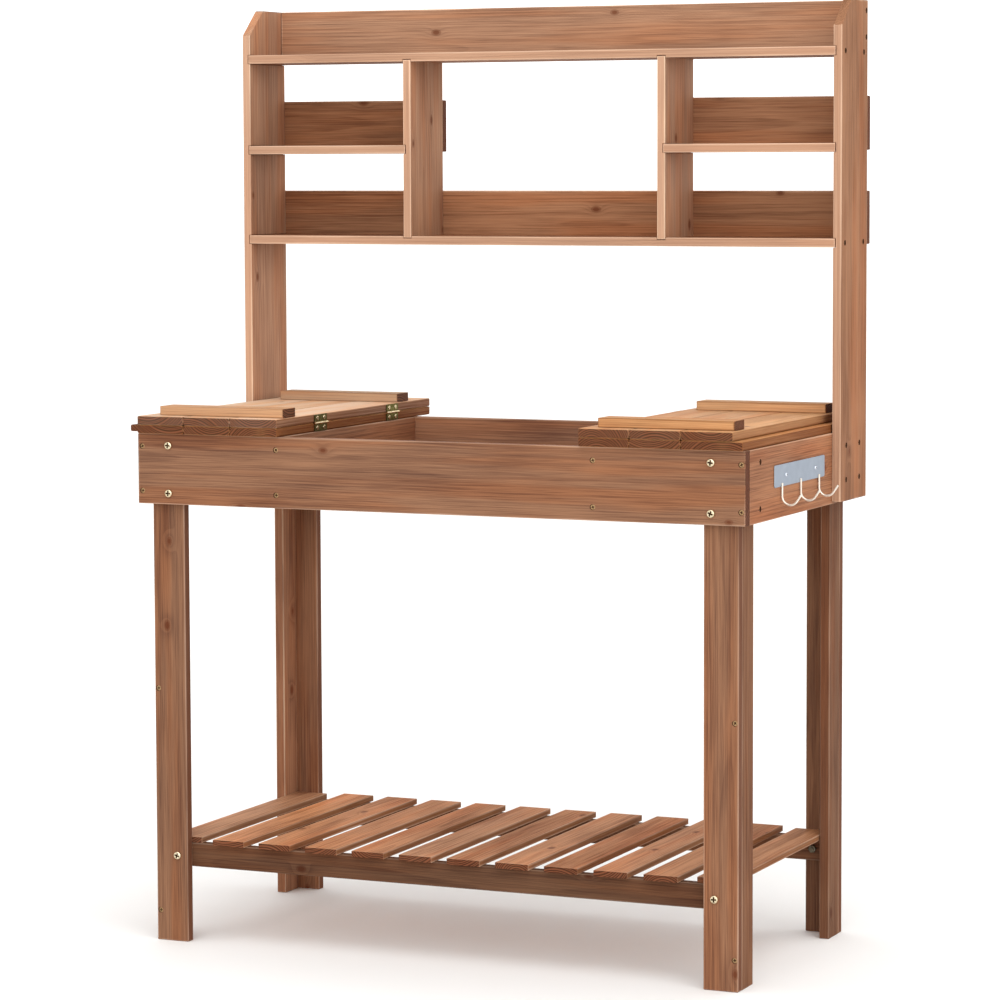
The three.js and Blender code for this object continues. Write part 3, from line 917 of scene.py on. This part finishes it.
def makeLeaf(node):
    # boards of equal width, except that a fixed leaf's outer board reaches its own edge
    look = leafLook
    low, high = boxOf(node)
    start, end, innerEnd = low.x, high.x, high.x
    lip = None
    if node == "left_fixed_leaf":
        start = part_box("left_swing_leaf")[0][0]
        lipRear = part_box("left_upright")[0][1] - look["lipShort"]
        lip = startBlock("lip", (low.x, low.y, high.z - look["lipThick"]),
                         (start + look["lipOverlap"], lipRear, high.z))
        bevelAll(lip, look["edge"], 2)
    if node == "right_fixed_leaf":
        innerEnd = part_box("right_swing_leaf")[1][0]
    width = (innerEnd - start) / look["boards"]
    boards, sideShare = leafTones[node]
    for index, (lighter, redder, paleStainAndSheen) in enumerate(boards):
        isLast = index == look["boards"] - 1
        first = start + index * width
        last = end if isLast else first + width - look["fit"]
        name = node + "_board_" + str(index + 1)
        near, far = (first, low.y, low.z), (last, high.y, high.z)
        board = moulding(name, near, far, index > 0, not isLast)
        if index == 0 and lip:
            addLip(board, lip)
        material = firMaterial(name, "top_wood", near, far, "y", lighter, redder, paleStainAndSheen, sideShare)
        finish(board, nodeBody[node], material)
        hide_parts(node)


for node in leafNodes:
    makeLeaf(node)
print("leaves done")


# ---- bolts through the aprons, legs and rails

boltRow = {"fromSide": 53.5, "apronRows": (17, -18)}  # mm from the box side and apron edges


def boltAndNutSpots():
    bolts, nuts = [], []
    front, back = (0, -1, 0), (0, 1, 0)
    apronLow, apronHigh = boxOf("front_apron")
    railHeight = middleOf("front_rail").z
    inset = boltRow["fromSide"] * mm
    for x in (apronLow.x + inset, apronHigh.x - inset):
        for row in boltRow["apronRows"]:
            z = (apronLow.z if row > 0 else apronHigh.z) + row * mm
            bolts.append((Vector((x, apronLow.y, z)), front))
            bolts.append((Vector((x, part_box("back_apron")[1][1], z)), back))
        bolts.append((Vector((x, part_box("front_left_leg_face")[0][1], railHeight)), front))
        bolts.append((Vector((x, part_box("rear_left_leg_face")[1][1], railHeight)), back))
        nuts.append((Vector((x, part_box("front_rail")[1][1], railHeight)), back))
        nuts.append((Vector((x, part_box("rear_rail")[0][1], railHeight)), front))
    return bolts, nuts


boltPlaces, nutPlaces = boltAndNutSpots()
finish(placeCopies("bolt_heads", boltHead, boltPlaces), "bench")
finish(placeCopies("rail_nuts", nutBody, nutPlaces), "bench", nutPlate)
print("bolts done")


# ---- butt hinges

hingeLook = {
    "plate": 1.5 * mm,
    "corner": 1.5 * mm,
    "knuckle": 2.2 * mm,
    "knuckleEase": 0.3 * mm,
    "knuckleGap": 0.4 * mm,
    "room": 0.3 * mm,  # round the other plate's knuckles
    "roomPast": 1 * mm,  # past the ends of the plate
    "rootGap": 0.6 * mm,
    "pin": 1.2 * mm,
    "pinOut": 0.4 * mm,  # past each end of the knuckles
    "pinEase": 0.35 * mm,
    "sunk": 0.75 * mm,  # screw heads stand low enough for the two plates to close
    "screwInset": 9.5 * mm,
}


def hingePlateBlock(name, low, high):
    piece = startBlock(name, low, high)
    piece.data.materials.append(brassPlate)
    roundCorners(hingeLook["corner"], 4)
    return piece


def makeHinge(side, end):
    look = hingeLook
    fixedNode = side + "_" + end + "_hinge_fixed_plate"
    swingNode = side + "_" + end + "_hinge_swing_plate"
    joint = next(j for j in frame["joints"] if j["name"] == side + "_leaf_fold")
    axisX, axisZ = joint["pos_m"][0], joint["pos_m"][2]
    low, high = boxOf(fixedNode)
    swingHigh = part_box(swingNode)[1]
    outward = 1 if side == "left" else -1
    inner = low.x if side == "left" else high.x
    face = inner + outward * look["plate"]
    plateX = sorted((inner, face))
    third = (high.y - low.y) / 3
    midLow, midHigh = low.y + third, high.y - third
    gap = look["knuckleGap"]

    def axisBar(name, radius, start, stop, sides):
        return startRound(name, radius, (axisX, start, axisZ), (axisX, stop, axisZ), "y", sides)

    def knuckle(start, stop):
        piece = axisBar("knuckle", look["knuckle"], start, stop, 32)
        bevelAll(piece, look["knuckleEase"], 2)
        onlySelect(piece)
        bpy.ops.object.shade_smooth_by_angle(angle=math.radians(40))
        piece.data.materials.append(boltPlate)
        return piece

    def screws(height):
        spots = []
        for y in (low.y + look["screwInset"], high.y - look["screwInset"]):
            spots.append((Vector((face - outward * look["sunk"], y, height)), (outward, 0, 0)))
        return placeCopies("hingeScrews", hingeStud, spots)

    def clearRoom(piece, spans):
        for start, stop in spans:
            tool = axisBar("room", look["knuckle"] + look["room"], start, stop, 24)
            tool.data.materials.append(brassPlate)
            cutWith(piece, tool)

    fixedPlate = hingePlateBlock("plate", (plateX[0], low.y, low.z),
                                 (plateX[1], high.y, axisZ - look["rootGap"]))
    clearRoom(fixedPlate, [(midLow - gap, midHigh + gap)])
    swingPlate = hingePlateBlock("plate", (plateX[0], low.y, axisZ + look["rootGap"]),
                                 (plateX[1], high.y, swingHigh[2]))
    past = look["roomPast"]
    clearRoom(swingPlate, [(low.y - past, midLow), (midHigh, high.y + past)])
    pin = axisBar("pin", look["pin"], low.y - look["pinOut"], high.y + look["pinOut"], 24)
    bevelAll(pin, look["pinEase"], 2)
    pin.data.materials.append(boltPlate)
    lowerScrews = (low.z + axisZ - look["knuckle"]) / 2
    upperScrews = (swingHigh[2] + axisZ + look["knuckle"]) / 2
    fixed = joinPieces(fixedNode + "_made", [
        fixedPlate, knuckle(low.y, midLow - gap), knuckle(midHigh + gap, high.y), pin,
        screws(lowerScrews)])
    swing = joinPieces(swingNode + "_made", [
        swingPlate, knuckle(midLow, midHigh), screws(upperScrews)])
    for piece, node in ((fixed, fixedNode), (swing, swingNode)):
        finish(piece, nodeBody[node])
        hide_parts(node)


for side in ("left", "right"):
    for end in ("front", "rear"):
        makeHinge(side, end)
print("hinges done")


# ---- hook rail

hookLook = {
    "plate": 1.5 * mm,
    "corner": 3 * mm,
    "ease": 0.7 * mm,
    "height": 33 * mm,
    "wire": 1.6 * mm,
    "bend": 12.5 * mm,
    "turn": 145,  # degrees of bend
    "lip": 12.5 * mm,  # straight end after the bend
    "tip": ((0.85, 0.7 * mm), (0.5, 0.5 * mm)),  # steps of the dome: shrink, advance
    "drop": 27 * mm,  # lowest point of the wire's middle, below the plate's lower edge
    "first": 30 * mm,  # from the plate's front end to the first hook
    "pitch": 83.3 * mm,
    "count": 3,
    "shankTop": 5.5 * mm,  # above the plate's lower edge
    "screws": (48.5 * mm, 180.5 * mm),
}


def makeHook(name, x, y, top, bendHeight):
    # wire section drawn down the shank, spun round the bend, then a lip with a domed tip
    look = hookLook
    clearSelection()
    bpy.ops.mesh.primitive_circle_add(vertices=16, radius=look["wire"], fill_type="NGON",
                                      location=(x, y, top))
    piece = bpy.context.object
    piece.name = piece.data.name = name
    bpy.ops.object.transform_apply(location=True, rotation=True, scale=True)
    bpy.ops.object.mode_set(mode="EDIT")
    bpy.ops.mesh.select_all(action="SELECT")
    bpy.ops.mesh.extrude_region_move(TRANSFORM_OT_translate={"value": (0, 0, bendHeight - top)})
    turn = math.radians(look["turn"])
    bpy.ops.mesh.spin(steps=20, angle=turn, center=(x + look["bend"], y, bendHeight),
                      axis=(0, 1, 0))
    lipWay = Vector((math.sin(turn), 0, -math.cos(turn)))
    for shrink, reach in ((1.0, look["lip"]), *look["tip"]):
        bpy.ops.mesh.extrude_region_move(TRANSFORM_OT_translate={"value": tuple(lipWay * reach)})
        bpy.ops.transform.resize(value=(shrink, shrink, shrink))
    bpy.ops.mesh.select_all(action="SELECT")
    bpy.ops.mesh.remove_doubles(threshold=0.005 * mm)
    bpy.ops.mesh.normals_make_consistent(inside=False)
    bpy.ops.object.mode_set(mode="OBJECT")
    bpy.ops.object.shade_smooth_by_angle(angle=math.radians(50))
    return piece


def makeHookRail():
    look = hookLook
    low, high = boxOf("hook_rail")
    plateLow = high.z - look["height"]
    face = low.x + look["plate"]
    plate = startBlock("hook_plate", (low.x, low.y, plateLow), (face, high.y, high.z))
    roundCorners(look["corner"], 6)
    bevelAll(plate, look["ease"], 2, 60)
    finish(plate, "bench", sheetPlate)
    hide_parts("hook_rail")
    wireX = face + look["wire"] / 2
    shankTop = plateLow + look["shankTop"]
    bendHeight = plateLow - look["drop"] + look["bend"]
    for index in range(look["count"]):
        y = low.y + look["first"] + index * look["pitch"]
        hook = makeHook("hook_" + str(index + 1), wireX, y, shankTop, bendHeight)
        finish(hook, "bench", wirePlate)
        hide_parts("hook_rail")
    spots = [(Vector((face, low.y + along, (plateLow + high.z) / 2)), (1, 0, 0))
             for along in look["screws"]]
    finish(placeCopies("hook_plate_screws", plateStud, spots), "bench")


makeHookRail()
for master in (screwHead, boltHead, hingeStud, plateStud, nutBody):
    bpy.data.objects.remove(master, do_unlink=True)
print("hook rail done")


# ---- studio

studio = {
    "floor": "#efeeec",
    "floorSize": 400,
    "horizon": 1.45,
    "ceiling": 0.8,
    "band": (0.25, 0.55),  # heights between which the light of the horizon fades
    # for each light: strength, where it shines from, how wide it looks in degrees
    "key": (1.7, (0.45, -0.85, 0.5), 80),
    "top": (1.0, (0.1, -0.1, 1.0), 70),
}
cameraLook = {
    "place": (2.329, -5.2919, 1.2145),
    "turn": 23.902,  # degrees to the left of straight back
    "tilt": -4.603,
    "roll": -0.196,
    "lens": 133.9,
    "sensor": 36,
    "shiftY": -0.04,
    "farthest": 100,
}


def floorMaterial(colour, roughness):
    # seamless painted floor: even white, with a faint change in its sheen
    material, tree = startMaterial("painted floor")
    coords = addNode(tree, "ShaderNodeTexCoord").outputs["Object"]
    mottle = addNode(tree, "ShaderNodeTexNoise",
                     {"Vector": coords, "Scale": 3.0, "Detail": 3.0}).outputs[0]
    level = addNode(tree, "ShaderNodeMapRange",
                    {"Value": mottle, "To Min": roughness - 0.05,
                     "To Max": roughness + 0.05}).outputs[0]
    shader = addNode(tree, "ShaderNodeBsdfPrincipled",
                     {"Base Color": toLinear(colour), "Roughness": level})
    addNode(tree, "ShaderNodeOutputMaterial", {"Surface": shader.outputs[0]})
    return material


def makeWorld():
    # bright round the horizon, dimmer overhead
    world = bpy.data.worlds.new("studio")
    bpy.context.scene.world = world
    world.use_nodes = True
    tree = world.node_tree
    tree.nodes.clear()
    direction = addNode(tree, "ShaderNodeTexCoord").outputs["Generated"]
    height = addNode(tree, "ShaderNodeSeparateXYZ", {0: direction}).outputs[2]
    bandLow, bandHigh = studio["band"]
    level = addNode(tree, "ShaderNodeMapRange",
                    {"Value": height, "From Min": bandLow, "From Max": bandHigh,
                     "To Min": studio["horizon"], "To Max": studio["ceiling"]}).outputs[0]
    light = addNode(tree, "ShaderNodeBackground", {"Color": (1, 1, 1, 1), "Strength": level})
    addNode(tree, "ShaderNodeOutputWorld", {"Surface": light.outputs[0]})


def makeStudio():
    clearSelection()
    bpy.ops.mesh.primitive_plane_add(size=studio["floorSize"], location=(0, 0, 0))
    floor = bpy.context.object
    floor.name = "studio_floor"
    floor.data.materials.append(floorMaterial(studio["floor"], 0.8))
    makeWorld()
    for name in ("key", "top"):
        power, source, width = studio[name]
        clearSelection()
        bpy.ops.object.light_add(type="SUN", location=source)
        lamp = bpy.context.object
        lamp.name = name
        lamp.data.energy = power
        lamp.data.angle = math.radians(width)
        lamp.rotation_euler = Vector(source).to_track_quat("Z", "Y").to_euler()


def makeCamera():
    look = cameraLook
    clearSelection()
    bpy.ops.object.camera_add(location=look["place"])
    camera = bpy.context.object
    camera.name = "camera"
    turn, tilt = math.radians(look["turn"]), math.radians(look["tilt"])
    ahead = Vector((-math.sin(turn) * math.cos(tilt), math.cos(turn) * math.cos(tilt),
                    math.sin(tilt)))
    aim = ahead.to_track_quat("-Z", "Y").to_matrix()
    camera.rotation_euler = (aim @ Matrix.Rotation(math.radians(look["roll"]), 3, "Z")).to_euler()
    camera.data.lens = look["lens"]
    camera.data.sensor_width = look["sensor"]
    camera.data.shift_y = look["shiftY"]
    camera.data.clip_end = look["farthest"]
    bpy.context.scene.camera = camera


makeStudio()
makeCamera()
bpy.context.scene.view_settings.view_transform = "Standard"
print("studio ready")
